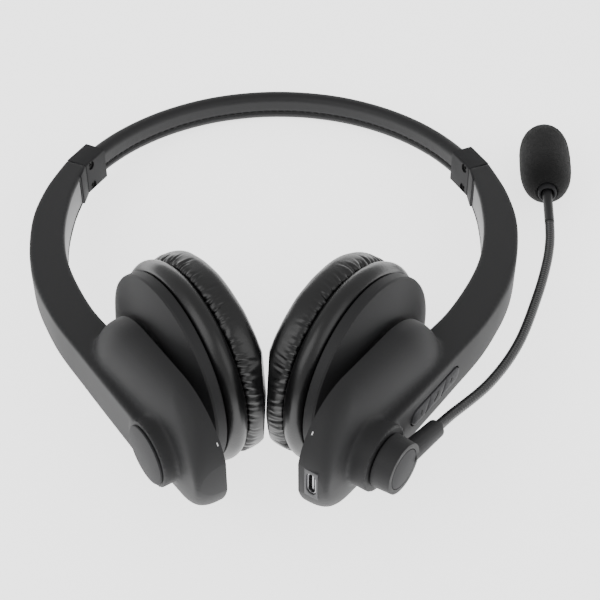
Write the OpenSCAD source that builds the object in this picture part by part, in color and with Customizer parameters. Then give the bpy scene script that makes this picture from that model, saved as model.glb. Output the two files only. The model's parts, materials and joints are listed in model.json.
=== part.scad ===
// Wireless office headset with a boom microphone, lying on a flat surface.
//
// The headset is drawn upright first: X across the head, Y from front (-) to back (+), Z up to
// the top of the band, with the origin between the arms. Its band and upper arms follow one
// circle. lay_down() then puts it on its back, tilted a little, because the ear cushions hold
// one end higher than the band. Each ear cup has its own frame, made by on_cup(): X runs down
// the cup, Y stays front to back, and Z points out of the cup's back.

/* [Headband] */
// Radius of the circle that the band and the upper arms follow
band_r = 89.2; // [80:0.1:100]
// Height of that circle's centre
band_z = 28.6; // [20:0.1:40]
// Depth of the padded band, front to back
band_depth = 12; // [8:0.5:25]
// Thickness of the padded band
band_thick = 6.6; // [4:0.1:12]
// Rounding of the band's edges
band_round = 2.8; // [1:0.1:3]
// Angle above the horizontal at which the band enters its end brackets
band_end_angle = 28.2; // [20:0.1:40]

/* [Brackets] */
// Middle of a bracket's lower face: across, and up
bracket_at = [84.2, 59.8];
// Lean of the brackets towards the middle
bracket_lean = 26.5; // [15:0.5:35]
// Length of a bracket along the arm
bracket_len = 14.2; // [10:0.1:20]
// Thickness of a bracket across the arm
bracket_thick = 9.7; // [6:0.1:12]
// Depth of a bracket, front to back
bracket_depth = 14.4; // [10:0.1:20]

/* [Arms] */
// Depth of an arm, front to back, level with the origin
arm_depth = 16.2; // [12:0.1:22]
// How much deeper the arm gets per millimetre downwards
arm_flare = 0.0287; // [0:0.0001:0.05]
// Wall thickness of the arm casings
arm_wall = 2.4; // [1.5:0.1:3]
// How far an arm slides down on its blade
height_travel = 20; // [10:1:35]
// Outward lean of the slider blades
blade_lean = 4.7; // [0:0.1:10]

/* [Ear cups] */
// Middle of a cup's front rim: across, and up
cup_at = [33.5, -54.8];
// Lean of the cups away from vertical
cup_lean = 35; // [20:0.5:50]
// Radius of the cup housing
cup_r = 36.5; // [30:0.5:45]
// Greatest radius of the ear cushion
cushion_r = 39.2; // [32:0.1:48]
// Width of the cushion ring, from its rim to the ear hole
cushion_w = 19.2; // [12:0.1:25]
// Thickness of the ear cushion
cushion_thick = 14; // [8:0.5:25]
// Depth of the smooth skirt between the cup and the cushion
skirt_depth = 7.3; // [4:0.1:12]
// Gap between each flattened cushion and the middle plane
cushion_gap = 0.15; // [0.1:0.05:1]
// How far a cup swivels to each side
swivel_range = 4; // [2:1:10]

/* [Outer shells] */
// Radius of the shell's rounded ends at its rim
shell_r = 26; // [20:0.5:32]
// Distance from the cup's middle to the shell's flat lower wall
shell_low = 55.2; // [45:0.1:65]
// Height of the shell's rim over the front rim of the cup
shell_rim = 12; // [8:0.5:18]
// Height of the shell's crest over the front rim of the cup, at its end towards the band
shell_top = 25.9; // [18:0.1:32]
// Height of the shell's crest at its lower end
shell_low_top = 23.4; // [18:0.1:30]
// Wall thickness of the shells
shell_wall = 2; // [1.5:0.1:3]

/* [Boom] */
// Distance of the boom pivot below the cup's middle
pivot_low = 32; // [20:0.1:40]
// Radius of the boom knob
knob_r = 9.8; // [7:0.1:14]
// Height of the boom knob
knob_h = 6.9; // [4:0.1:12]
// Diameter of the gooseneck
goose_d = 3.9; // [3:0.1:6]
// Diameter of the foam windscreen
foam_d = 21.8; // [15:0.1:30]
// Length of the foam windscreen
foam_len = 42.5; // [25:0.5:50]

/* [Buttons] */
// Length of the row of three buttons
keys_len = 31; // [24:0.5:40]
// Width of the buttons
keys_w = 6.6; // [4:0.1:10]
// Travel of a button
key_travel = 0.5; // [0.2:0.1:1]

/* [Hidden] */
$fn = 64;

// Lying pose: tilt of the middle plane, and the shift that puts the origin under the middle
rest_tilt = 11.48;
origin_shift = [-15.13, -4.27, 29.56];

// Arm outlines, from the bracket down to the boss, as the few points their curves pass through
arm_outer = [[89, 62.2], [94.6, 41.2], [96.2, 18], [91.2, -12], [80, -37], [65.2, -59.4], [43.2, -90.8]];
arm_inner = [[80.3, 57.9], [82.9, 38], [82.4, 15], [77.5, -7], [66.2, -31], [53.4, -49.3], [30, -82.7]];
arm_hollow_low = -76;
liner_top = 50.2;
liner_low = -26;
bracket_in = 4.4;
blade_half_w = 3.2;
blade_thick = 1.2;
blade_len = height_travel + 28;
blade_in = 7;
flange_low = 50.8;

// Ball joint between a shell and its cup
ball_z = 9;
ball_r = 4.5;
bushing_r = 5.8;
joint_gap = 0.06;
socket_r = 8.2;
cover_z = 13.7;
cover_thick = 1.6;
cover_r = 22.1;
cover_low = 53.3;
cover_high = -17.9;
cover_screw_at = [[42, 0], [16, 14], [16, -14]];
post_h = 8.2;
post_r = 3;
screw_r = 1.2;
screw_head_r = 2.2;
cup_rim = 4.8;
rim_wall = 1.5;
dome_turns = [35, 62, 90];
dome_ends = [30, 3.5];
dome_slides = [20.4, -8];
dome_inwards = 22;
cup_back = 9.3;
cup_inner = cup_back - 1.6;
well_r = 13.2;
cushion_mid = -skirt_depth - cushion_thick / 2 + 1.5;
ring_r = cushion_r - cushion_w / 2;
skin = 1;

boss_r = 12.2;
boss_top = 30.6;
cap_top = 29.8;
knob_z = 31.3;
shaft_r = 4;
sleeve_r = 4;
sleeve_len = 26.5;
sleeve_turn = 11;
socket_depth = 12;

port_z = 17.2;
port = [8.94, 3.26];
trim = [12.2, 5.3, 0.8];
lens = [1.6, 1.5, 0.5];
lens_turn = -41;
key_top = 29.1;
key_low = 25.2;
switch_top = 23.9;
key_mid = -3.2;
key_split = 5.2;
key_pitch = key_split + 4.6;
key_slant = 25;
key_gap = 0.2;

// Route of the gooseneck in the upright frame, from the knob's sleeve to the microphone
boom_route = [[56, 4.2, -83.25], [59.4, 5.35, -78.4], [64, 6.8, -71.9], [79.5, 6.8, -55.2],
              [92, 6, -35], [101.9, 5, -9.3], [107.6, 3.5, 9], [110.4, 2.4, 22], [111.6, 1.6, 33.5]];
mic_lean = 4.5;
ferrule_len = 19;

// ---- Helpers ------------------------------------------------------------------------------

module lay_down() {
    translate(origin_shift) rotate([-90 - rest_tilt, 0, 0]) children();
}

// Mirrors its children to the left when side is -1
module on_side(side) {
    if (side > 0) children();
    else mirror([1, 0, 0]) children();
}

module on_cup(side) {
    lay_down() on_side(side)
        translate([cup_at[0], 0, cup_at[1]]) rotate([0, 90 + cup_lean, 0]) children();
}

module on_bracket(side) {
    lay_down() on_side(side)
        translate([bracket_at[0], 0, bracket_at[1]]) rotate([0, -bracket_lean, 0]) children();
}

// Draws a flat shape of X across and Z up, as deep as depth, centred front to back
module upright_slab(depth) {
    rotate([90, 0, 0]) linear_extrude(depth, center = true) children();
}

function curve_point(a, b, c, d, t) =
    0.5 * (2 * b + (c - a) * t + (2 * a - 5 * b + 4 * c - d) * t * t
           + (3 * b - a - 3 * c + d) * t * t * t);

// A smooth curve through the points p, with n steps between neighbours
function smooth_curve(p, n) =
    [for (i = [0 : len(p) - 2], k = [0 : n - 1])
        curve_point(p[max(i - 1, 0)], p[i], p[i + 1], p[min(i + 2, len(p) - 1)], k / n),
     p[len(p) - 1]];

function unit(v) = v / norm(v);

function heading(path, i) = unit(path[min(i + 1, len(path) - 1)] - path[max(i - 1, 0)]);

// The path moved sideways by d, to the right of its heading
function moved(path, d) =
    [for (i = [0 : len(path) - 1]) let (h = heading(path, i)) path[i] + d * [h[1], -h[0]]];

function backwards(path) = [for (i = [len(path) - 1 : -1 : 0]) path[i]];

outer_path = smooth_curve(arm_outer, 5);
inner_path = smooth_curve(arm_inner, 5);

// A round bar of radius r along a path in space
module bar_along(path, r, sides = 12) {
    last = len(path) - 1;
    points = [for (i = [0 : last]) let (h = heading(path, i), across = unit(cross(h, [0, 1, 0])))
        let (up = cross(across, h))
        for (k = [0 : sides - 1])
            path[i] + r * (cos(360 * k / sides) * across + sin(360 * k / sides) * up)];
    walls = [for (i = [0 : last - 1], k = [0 : sides - 1]) let (n = (k + 1) % sides)
        [i * sides + k, i * sides + n, (i + 1) * sides + n, (i + 1) * sides + k]];
    polyhedron(points, concat(walls, [[for (k = [sides - 1 : -1 : 0]) k]],
               [[for (k = [0 : sides - 1]) last * sides + k]]), convexity = 8);
}

// A bar with rounded ends, len long along X and w wide, h high
module long_round(len, w, h) {
    for (x = [-1, 1]) translate([x * (len - w) / 2, 0, 0]) cylinder(h, d = w);
    translate([-(len - w) / 2, -w / 2, 0]) cube([len - w, w, h]);
}

module box(size, at) {
    translate(at - [size[0] / 2, size[1] / 2, 0]) cube(size);
}

// ---- Headband -----------------------------------------------------------------------------

// Revolves a flat shape, X outward from the band's centre line and Y front to back
module around_band(end_angle) {
    lay_down() translate([0, 0, band_z]) rotate([90, 0, 0])
        rotate([0, 0, end_angle]) rotate_extrude(angle = 180 - 2 * end_angle, $fn = 128)
            translate([band_r, 0]) children();
}

module rounded_bar(w, h, r) {
    square([w - 2 * r, h], center = true);
    square([w, h - 2 * r], center = true);
    for (x = [-1, 1], y = [-1, 1]) translate([x * (w / 2 - r), y * (h / 2 - r)]) circle(r);
}

module band_spring() {
    color("silver") around_band(24) square([1, 9], center = true);
}

module band_padding() {
    color("dimgray") around_band(band_end_angle) difference() {
        rounded_bar(band_thick - 2 * skin, band_depth - 2 * skin, band_round - skin);
        square([1.1, 9.1], center = true);
    }
}

module band_sleeve() {
    color("#2b2b2b") around_band(band_end_angle) difference() {
        rounded_bar(band_thick, band_depth, band_round);
        rounded_bar(band_thick - 2 * skin + 0.02, band_depth - 2 * skin + 0.02, band_round - skin);
    }
}

// ---- Brackets and slider blades -----------------------------------------------------------

module bracket_body() {
    half = bracket_depth / 2;
    out = bracket_thick - bracket_in;
    chamfer = 0.8;
    linear_extrude(bracket_len - 0.25)
        polygon([[-bracket_in, chamfer - half], [chamfer - bracket_in, -half], [out - chamfer, -half],
                 [out, chamfer - half], [out, half - chamfer], [out - chamfer, half],
                 [chamfer - bracket_in, half], [-bracket_in, half - chamfer]]);
}

// The thin tongue that carries on from the bracket over the arm's inner face
module bracket_flange(grow = 0) {
    upright_slab(bracket_depth + 2 * grow)
        polygon([[80.3 - 4 * grow, 58.2 + 4 * grow], [81 - 4 * grow, flange_low - grow],
                 [82.3 + grow, flange_low - grow], [82.3 + grow, 59.2 + 4 * grow]]);
}

module bracket_screw_holes() {
    for (y = [-1, 1]) translate([-bracket_in, 5 * y, 3.9]) rotate([0, 90, 0]) {
        translate([0, 0, -0.1]) cylinder(2, r = 1.9, $fn = 32);
        cylinder(6.6, r = 1.05, $fn = 32);
    }
}

module bracket(side) {
    color("#4a4a4a") difference() {
        union() {
            on_bracket(side) translate([0, 0, 0.25]) bracket_body();
            lay_down() on_side(side) bracket_flange();
        }
        on_bracket(side) {
            box([band_thick + 0.3, band_depth + 0.3, 4], [-0.15, 0, 12.1]);
            box([1.5, 9.2, 12], [-0.1, 0, 5.6]);
            bracket_screw_holes();
        }
        blade_bar(side, 0.04);
    }
}

module left_bracket() { bracket(-1); }

module right_bracket() { bracket(1); }

module bracket_screws() {
    color("#101010") for (side = [-1, 1]) on_bracket(side)
        for (y = [-1, 1]) translate([-bracket_in, 5 * y, 3.9]) rotate([0, 90, 0])
            difference() {
                union() {
                    translate([0, 0, 0.7]) cylinder(1.2, r = 1.8, $fn = 32);
                    translate([0, 0, 1.9]) cylinder(4.6, r = 1, $fn = 32);
                }
                for (a = [0, 90]) rotate([0, 0, a])
                    translate([-1.1, -0.25, 0.6]) cube([2.2, 0.5, 0.6]);
            }
}

module blade_bar(side, grow = 0) {
    lay_down() on_side(side) translate([bracket_at[0], 0, bracket_at[1]])
        rotate([0, -blade_lean, 0])
            box([blade_thick + 2 * grow, 2 * blade_half_w + 2 * grow, blade_len + grow],
                [0, 0, blade_in - blade_len]);
}

module left_slider_blade() { color("silver") blade_bar(-1); }

module right_slider_blade() { color("silver") blade_bar(1); }

// ---- Arms and outer shells ----------------------------------------------------------------

function half_depth(z) = (arm_depth - arm_flare * z) / 2;

// The arm's depth as a wedge that gets deeper downwards
module depth_wedge(inset = 0) {
    rotate([90, 0, 90]) linear_extrude(130)
        polygon([[-half_depth(70) + inset, 70], [half_depth(70) - inset, 70],
                 [half_depth(-110) - inset, -110], [-half_depth(-110) + inset, -110]]);
}

module shell_end(r, low, high, z, h) {
    for (x = [low - r, high + r]) translate([x, 0, z]) cylinder(h, r = r, $fn = 48);
}

// A long dome, upright at its rim and then rounded over, higher at its end towards the band
module shell_solid(inset = 0, drop = 0) {
    foot = shell_rim + rim_wall;
    intersection() {
        hull() {
            shell_end(shell_r - inset, shell_low + 0.8 - inset, inset - 22.5, shell_rim - drop, rim_wall + drop);
            for (turn = dome_turns, end = [0, 1]) {
                gain = 1 - cos(turn);
                top = [shell_low_top, shell_top][end] - inset;
                translate([dome_ends[end] + dome_slides[end] * gain, 0, foot - 0.5 + (top - foot) * sin(turn)])
                    cylinder(0.5, r = shell_r - dome_inwards * gain - inset, $fn = 48);
            }
        }
        translate([-60, -40, 0]) cube([60 + shell_low - inset, 80, 60]);
    }
}

// Screw positions of the shell cover
module at_cover_screws() {
    for (p = cover_screw_at) translate([p[0], p[1], 0]) children();
}

module casing_outside(side) {
    lay_down() on_side(side) intersection() {
        upright_slab(40) polygon(concat(outer_path, backwards(inner_path)));
        depth_wedge();
    }
    on_cup(side) {
        shell_solid();
        translate([pivot_low, 0, 18]) cylinder(boss_end(side) - 18, r = boss_r);
    }
}

function boss_end(side) = side > 0 ? boss_top : 28.9;

module casing_inside(side) {
    lay_down() on_side(side) {
        intersection() {
            upright_slab(40) polygon(concat(moved(outer_path, arm_wall), backwards(moved(inner_path, -1.6))));
            depth_wedge(1.9);
            translate([0, -20, arm_hollow_low]) cube([130, 40, 150]);
        }
        intersection() {
            upright_slab(11.2) polygon(concat(moved(inner_path, -1.7), backwards(moved(inner_path, 2))));
            translate([0, -20, liner_low]) cube([130, 40, liner_top - liner_low]);
        }
        bracket_flange(0.25);
    }
    on_cup(side) shell_solid(shell_wall, 1);
}

module casing_common(side) {
    difference() {
        casing_outside(side);
        casing_inside(side);
        blade_bar(side, 0.4);
    }
    on_cup(side) at_cover_screws() translate([0, 0, cover_z + cover_thick])
        difference() {
            cylinder(post_h, r = post_r, $fn = 32);
            translate([0, 0, -0.1]) cylinder(5, r = screw_r + 0.05, $fn = 32);
        }
}

module left_arm_casing() {
    color("#3f3f3f") difference() {
        casing_common(-1);
        on_cup(-1) translate([pivot_low, 0, 27.4]) cylinder(3, r = 9.6);
    }
}

module keys_slot(grow, from, to) {
    translate([key_mid, 0, from]) long_round(keys_len + 2 * grow, keys_w + 2 * grow, to - from);
}

module right_arm_casing() {
    color("#3f3f3f") difference() {
        casing_common(1);
        on_cup(1) {
            translate([pivot_low, 0, 15]) cylinder(20, r = shaft_r + 0.06);
            keys_slot(key_gap, 24, 32);
            translate([shell_low - trim[2], 0, port_z])
                box([5, trim[0] + 0.1, trim[1] + 0.1], [2.5, 0, -trim[1] / 2 - 0.05]);
            translate([shell_low, 0, port_z])
                box([8, port[0] + 0.5, port[1] + 0.4], [0, 0, -port[1] / 2 - 0.2]);
            at_lens() box([5, lens[1] + 0.1, lens[2] + 0.1], [0, 0, -lens[2] / 2 - 0.05]);
        }
    }
}

module left_arm_liner() { arm_liner(-1); }

module right_arm_liner() { arm_liner(1); }

module arm_liner(side) {
    color("#4c4c4c") lay_down() on_side(side) intersection() {
        upright_slab(11) polygon(concat(moved(inner_path, -1.6), backwards(inner_path)));
        translate([0, -20, liner_low + 0.1]) cube([130, 40, liner_top - liner_low - 0.4]);
    }
}

module left_end_cap() {
    color("#6f6f6f") on_cup(-1) translate([pivot_low, 0, 0]) {
        translate([0, 0, 28.9]) cylinder(cap_top - 28.9, r = 10.8);
        translate([0, 0, 27.5]) cylinder(1.4, r = 9.5);
    }
}

module shell_cover(side) {
    color("#2e2e2e") on_cup(side) difference() {
        union() {
            intersection() {
                hull() shell_end(cover_r, cover_low, cover_high, cover_z, cover_thick);
                translate([-60, -40, 0]) cube([60 + shell_low - shell_wall - 0.8, 80, 60]);
            }
            translate([0, 0, ball_z - 3.5]) cylinder(cover_z + cover_thick - ball_z + 3.5, r = socket_r);
        }
        translate([0, 0, ball_z]) sphere(bushing_r + joint_gap);
        translate([0, 0, ball_z - 4]) cylinder(4, r = 4.8);
        at_cover_screws() translate([0, 0, cover_z - 0.1]) {
            cylinder(3, r = screw_r + 0.15, $fn = 32);
            cylinder(0.9, r = screw_head_r + 0.15, $fn = 32);
        }
    }
}

module left_shell_cover() { shell_cover(-1); }

module right_shell_cover() { shell_cover(1); }

module cover_screws(side) {
    color("#181818") on_cup(side) at_cover_screws() {
        translate([0, 0, cover_z]) cylinder(0.8, r = screw_head_r, $fn = 32);
        translate([0, 0, cover_z]) cylinder(6, r = screw_r, $fn = 32);
    }
}

module left_cover_screws() { cover_screws(-1); }

module right_cover_screws() { cover_screws(1); }

module battery() {
    color("#b8b8b8") on_cup(-1) box([24, 18, 4.6], [25, 0, 16.6]);
}

// ---- Electronics in the right arm ---------------------------------------------------------

board_z = port_z + port[1] / 2;

module circuit_board() {
    color("darkgreen") on_cup(1) difference() {
        union() {
            box([21, 22, 1], [34.5, 0, board_z]);
            box([8, 9.6, 1], [48.2, 0, board_z]);
        }
        translate([pivot_low, 0, board_z - 1]) cylinder(4, r = 6.4);
        translate([cover_screw_at[0][0], 0, board_z - 1]) cylinder(4, r = post_r + 0.1);
    }
}

module port_outline(size, depth) {
    rotate([90, 0, 90]) translate([0, 0, -depth]) linear_extrude(depth) {
        square([size[0] - size[1], size[1]], center = true);
        for (x = [-1, 1]) translate([x * (size[0] - size[1]) / 2, 0]) circle(size[1] / 2, $fn = 32);
    }
}

module usb_socket() {
    color("silver") on_cup(1) translate([shell_low - 0.4, 0, port_z]) {
        difference() {
            port_outline(port, 7.3);
            translate([0.1, 0, 0]) port_outline(port - [0.6, 0.6], 6.4);
        }
        translate([-6.8, -3.35, -0.35]) cube([6, 6.7, 0.7]);
    }
}

module usb_trim() {
    color("#8a8a8a") on_cup(1) translate([shell_low - trim[2], 0, port_z]) difference() {
        box([trim[2] + 0.1, trim[0], trim[1]], [trim[2] / 2 + 0.05, 0, -trim[1] / 2]);
        translate([2, 0, 0]) port_outline(port + [0.5, 0.5], 4);
    }
}

// A small window in the shell's rim, near its lower front corner
module at_lens() {
    translate([shell_low + 0.8 - shell_r, 0, shell_rim + 1.2]) rotate([0, 0, lens_turn])
        translate([shell_r + 0.05 - lens[0] / 2, 0, 0]) children();
}

module status_lens() {
    color("white") on_cup(1) at_lens() box(lens, [0, 0, -lens[2] / 2]);
}

module key_board() {
    color("darkgreen") on_cup(1) {
        box([34, 11, 1], [key_mid, 0, 21.5]);
        for (i = [-1, 0, 1]) box([4, 4, switch_top - 22.5], [key_mid + i * key_pitch, 0, 22.5]);
    }
}

// One of the three keys: a slice of the long oval between two slanted cuts
module key_slice(index) {
    cut = key_split;
    edge = keys_len;
    low = index < 0 ? -edge : index == 0 ? -cut + 0.15 : cut + 0.15;
    high = index > 0 ? edge : index == 0 ? cut - 0.15 : -cut - 0.15;
    skew = tan(key_slant) * keys_w;
    on_cup(1) {
        intersection() {
            keys_slot(0, key_low, key_top);
            translate([key_mid, 0, 20]) linear_extrude(20)
                polygon([[low - skew, -keys_w], [high - skew, -keys_w],
                         [high + skew, keys_w], [low + skew, keys_w]]);
        }
        stem = key_low - switch_top - key_travel - 0.1;
        box([3, 3, stem], [key_mid + index * key_pitch, 0, key_low - stem]);
    }
}

module volume_up_key() { color("#5a5a5a") key_slice(-1); }

module call_key() { color("#5a5a5a") key_slice(0); }

module volume_down_key() { color("#5a5a5a") key_slice(1); }

// ---- Ear cups -----------------------------------------------------------------------------

// Keeps a cushion on its own side of the middle plane, whichever way its cup swivels
module own_side(side, gap) {
    intersection() {
        children();
        middle_cut(side, gap, 0);
        middle_cut(side, gap, swivel_range);
        middle_cut(side, gap, -swivel_range);
    }
}

module middle_cut(side, gap, turn) {
    on_cup(side) translate([0, 0, ball_z]) rotate([turn, 0, 0]) translate([0, 0, -ball_z])
        rotate([0, -90 - cup_lean, 0]) translate([gap - cup_at[0], -60, -60]) cube([120, 120, 120]);
}

function oval(w, h, n) = [for (i = [0 : n - 1]) [w / 2 * cos(360 * i / n), h / 2 * sin(360 * i / n)]];

module cushion_ring(inset) {
    translate([0, 0, cushion_mid]) rotate_extrude($fn = 96) intersection() {
        translate([ring_r, 0]) polygon(oval(cushion_w - 2 * inset, cushion_thick - 2 * inset, 28));
        translate([0, -20]) square([60, 20 - skirt_depth - cushion_mid - 0.02]);
    }
}

module cushion_cover(side) {
    color("#1c1c1c") difference() {
        own_side(side, cushion_gap) on_cup(side) cushion_ring(0);
        own_side(side, cushion_gap + skin) on_cup(side) cushion_ring(skin - 0.02);
    }
}

module left_cushion_cover() { cushion_cover(-1); }

module right_cushion_cover() { cushion_cover(1); }

module cushion_foam(side) {
    color("#555555") own_side(side, cushion_gap + skin + 0.05) on_cup(side) cushion_ring(skin);
}

module left_cushion_foam() { cushion_foam(-1); }

module right_cushion_foam() { cushion_foam(1); }

module cushion_skirt(side) {
    color("#222222") on_cup(side) rotate_extrude($fn = 96)
        polygon([[33.6, -0.05], [36.5, -0.05], [37.6, -1.6], [38.1, -3.6], [38, -5.6], [37, -skirt_depth],
                 [33.6, -skirt_depth]]);
}

module left_cushion_skirt() { cushion_skirt(-1); }

module right_cushion_skirt() { cushion_skirt(1); }

module cup_housing(side) {
    color("#383838") on_cup(side) rotate_extrude($fn = 96)
        polygon([[34.8, 0], [cup_r, 0], [cup_r, 3.3], [cup_r - 0.9, cup_rim], [24.2, cup_back],
                 [well_r, cup_back], [well_r, 3.2], [1.55, 3.2], [1.55, 1.6], [well_r + 1.6, 1.6],
                 [well_r + 1.6, cup_inner], [23.6, cup_inner], [34.8, 3.4]]);
}

module left_cup_housing() { cup_housing(-1); }

module right_cup_housing() { cup_housing(1); }

module ball_stud(side) {
    color("silver") on_cup(side) {
        intersection() {
            translate([0, 0, ball_z]) sphere(ball_r);
            translate([-10, -10, ball_z - 4.2]) cube([20, 20, 20]);
        }
        translate([0, 0, 4.2]) cylinder(ball_z - 7, r = 1.8);
        translate([0, 0, 3.2]) cylinder(1.1, r = 5);
        translate([0, 0, 1.3]) cylinder(2, r = 1.5);
    }
}

module left_ball_stud() { ball_stud(-1); }

module right_ball_stud() { ball_stud(1); }

module joint_bushing(side) {
    color("white") on_cup(side) translate([0, 0, ball_z]) difference() {
        intersection() {
            sphere(bushing_r);
            translate([-10, -10, -2.6]) cube([20, 20, 6.2]);
        }
        sphere(ball_r + joint_gap);
    }
}

module left_joint_bushing() { joint_bushing(-1); }

module right_joint_bushing() { joint_bushing(1); }

module baffle(side) {
    color("#262626") on_cup(side) difference() {
        rotate_extrude($fn = 96)
            polygon([[0, -skirt_depth + 0.3], [33.4, -skirt_depth + 0.3], [33.4, 1.5], [31.9, 1.5],
                     [31.9, -5.4], [0, -5.4]]);
        translate([0, 0, -9]) {
            cylinder(5, r = 1.1, $fn = 24);
            for (ring = [1 : 3], i = [0 : 6 * ring - 1]) rotate([0, 0, 60 * i / ring])
                translate([4.5 * ring, 0, 0]) cylinder(5, r = 1.1, $fn = 24);
        }
    }
}

module left_baffle() { baffle(-1); }

module right_baffle() { baffle(1); }

module speaker(side) {
    color("#7d7d7d") on_cup(side) rotate_extrude($fn = 64)
        polygon([[0, 0.9], [9.5, 0.9], [9.5, -1.2], [19.9, -3.6], [19.9, -5.3], [17.5, -5.3],
                 [9, -3.4], [0, -3.4]]);
}

module left_speaker() { speaker(-1); }

module right_speaker() { speaker(1); }

module speaker_cloth(side) {
    color("#303030") on_cup(side) translate([0, 0, -skirt_depth - 0.05]) cylinder(0.3, r = 19.4);
}

module left_speaker_cloth() { speaker_cloth(-1); }

module right_speaker_cloth() { speaker_cloth(1); }

// ---- Boom microphone ----------------------------------------------------------------------

module sleeve_turned() {
    translate([pivot_low, 0, knob_z + knob_h / 2]) rotate([0, 0, 180 - sleeve_turn])
        rotate([0, 90, 0]) children();
}

module boom_knob() {
    color("#454545") on_cup(1) difference() {
        union() {
            translate([pivot_low, 0, knob_z]) cylinder(knob_h, r1 = knob_r, r2 = knob_r - 0.5);
            sleeve_turned() cylinder(sleeve_len, r1 = sleeve_r, r2 = sleeve_r - 0.6);
        }
        translate([pivot_low, 0, knob_z + knob_h - 0.9]) cylinder(2, r = 7.5);
        translate([pivot_low, 0, knob_z - 1]) cylinder(3.6, r = shaft_r);
        sleeve_turned() translate([0, 0, sleeve_len - socket_depth]) cylinder(20, r = goose_d / 2 + 0.05);
    }
}

module boom_shaft() {
    color("silver") on_cup(1) translate([pivot_low, 0, 0]) difference() {
        translate([0, 0, 18.5]) cylinder(knob_z + 2.5 - 18.5, r = shaft_r - 0.01);
        translate([0, 0, 19.5]) difference() {
            cylinder(0.9, r = 6);
            translate([0, 0, -1]) cylinder(3, r = 3);
        }
        translate([0, 0, 18]) cylinder(10, r = 1);
    }
}

module boom_clip() {
    color("silver") on_cup(1) translate([pivot_low, 0, 19.55]) difference() {
        cylinder(0.8, r = 6);
        translate([0, 0, -1]) cylinder(3, r = 3.02);
        translate([-9, -1.6, -1]) cube([8, 3.2, 3]);
    }
}

module knob_disc() {
    color("#6f6f6f") on_cup(1) translate([pivot_low, 0, knob_z + knob_h - 0.9]) cylinder(0.95, r = 7.25);
}

module gooseneck() {
    color("#151515") lay_down() bar_along(smooth_curve(boom_route, 6), goose_d / 2);
}

module on_mic() {
    end = boom_route[len(boom_route) - 1];
    lay_down() translate(end) rotate([0, mic_lean, 0]) children();
}

module boom_ferrule() {
    color("#202020") on_mic() translate([0, 0, 0.2]) cylinder(ferrule_len - 0.2, r = goose_d / 2);
}

module mic_housing() {
    color("#303030") on_mic() difference() {
        translate([0, 0, ferrule_len]) cylinder(15, r = 4.1);
        translate([0, 0, ferrule_len + 8]) cylinder(10, r = 3.1);
    }
}

module mic_capsule() {
    color("silver") on_mic() translate([0, 0, ferrule_len + 8]) cylinder(5.5, r = 3.08);
}

module mic_foam() {
    r = foam_d / 2;
    top = ferrule_len + 2 + foam_len;
    color("#1a1a1a") on_mic() difference() {
        union() {
            translate([0, 0, ferrule_len + 2 + r]) sphere(r);
            translate([0, 0, ferrule_len + 2 + r]) cylinder(foam_len - 2 * r, r = r);
            translate([0, 0, top - r]) sphere(r);
        }
        cylinder(ferrule_len + 15.2, r = 4.15);
    }
}

band_spring();
band_padding();
band_sleeve();
left_bracket();
right_bracket();
bracket_screws();
left_slider_blade();
right_slider_blade();
left_arm_casing();
left_arm_liner();
left_end_cap();
left_shell_cover();
left_cover_screws();
battery();
right_arm_casing();
right_arm_liner();
right_shell_cover();
right_cover_screws();
circuit_board();
usb_socket();
usb_trim();
status_lens();
key_board();
left_joint_bushing();
left_ball_stud();
left_cup_housing();
left_baffle();
left_speaker();
left_speaker_cloth();
left_cushion_skirt();
left_cushion_foam();
left_cushion_cover();
right_joint_bushing();
right_ball_stud();
right_cup_housing();
right_baffle();
right_speaker();
right_speaker_cloth();
right_cushion_skirt();
right_cushion_foam();
right_cushion_cover();
boom_knob();
boom_shaft();
boom_clip();
knob_disc();
gooseneck();
boom_ferrule();
mic_housing();
mic_capsule();
mic_foam();
volume_up_key();
call_key();
volume_down_key();
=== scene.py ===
import bpy
import json
import math
import random
from mathutils import Matrix, Vector, noise


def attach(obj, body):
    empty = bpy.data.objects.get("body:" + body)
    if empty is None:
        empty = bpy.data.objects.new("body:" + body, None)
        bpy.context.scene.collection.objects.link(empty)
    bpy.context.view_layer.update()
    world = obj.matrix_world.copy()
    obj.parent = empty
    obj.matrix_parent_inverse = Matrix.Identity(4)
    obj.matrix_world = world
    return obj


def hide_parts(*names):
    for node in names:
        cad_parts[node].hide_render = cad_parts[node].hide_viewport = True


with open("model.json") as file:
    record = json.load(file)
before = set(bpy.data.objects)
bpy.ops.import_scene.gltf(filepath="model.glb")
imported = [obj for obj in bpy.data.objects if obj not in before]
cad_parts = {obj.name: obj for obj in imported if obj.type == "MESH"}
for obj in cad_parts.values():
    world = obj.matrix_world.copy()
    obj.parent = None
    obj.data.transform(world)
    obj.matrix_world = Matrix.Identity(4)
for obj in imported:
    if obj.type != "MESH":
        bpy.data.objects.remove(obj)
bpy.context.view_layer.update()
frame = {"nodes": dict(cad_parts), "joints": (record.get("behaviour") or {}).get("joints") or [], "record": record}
mm = 0.001
scene = bpy.context.scene
cadNodes = frame["nodes"]
joints = {joint["name"]: joint for joint in frame["joints"]}
sides = {"left": -1, "right": 1}

# The upright headset: X across the head, Y from front to back, Z to the top of the band
ballDrop = 59.96 * mm    # from the upright frame's origin down to the ball joints
ballHeight = 9 * mm      # from a cup's front rim out to its ball
turnAxis = Vector(joints["right_cup_tilt"]["axis"])
acrossAxis = Vector((1, 0, 0))
upright = Matrix((acrossAxis, -turnAxis, acrossAxis.cross(-turnAxis))).transposed().to_4x4()
ballPlaces = [Vector(joints[side + "_cup_tilt"]["pos_m"]) for side in sides]
upright.translation = (ballPlaces[0] + ballPlaces[1]) / 2 + upright.col[2].xyz * ballDrop


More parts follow.
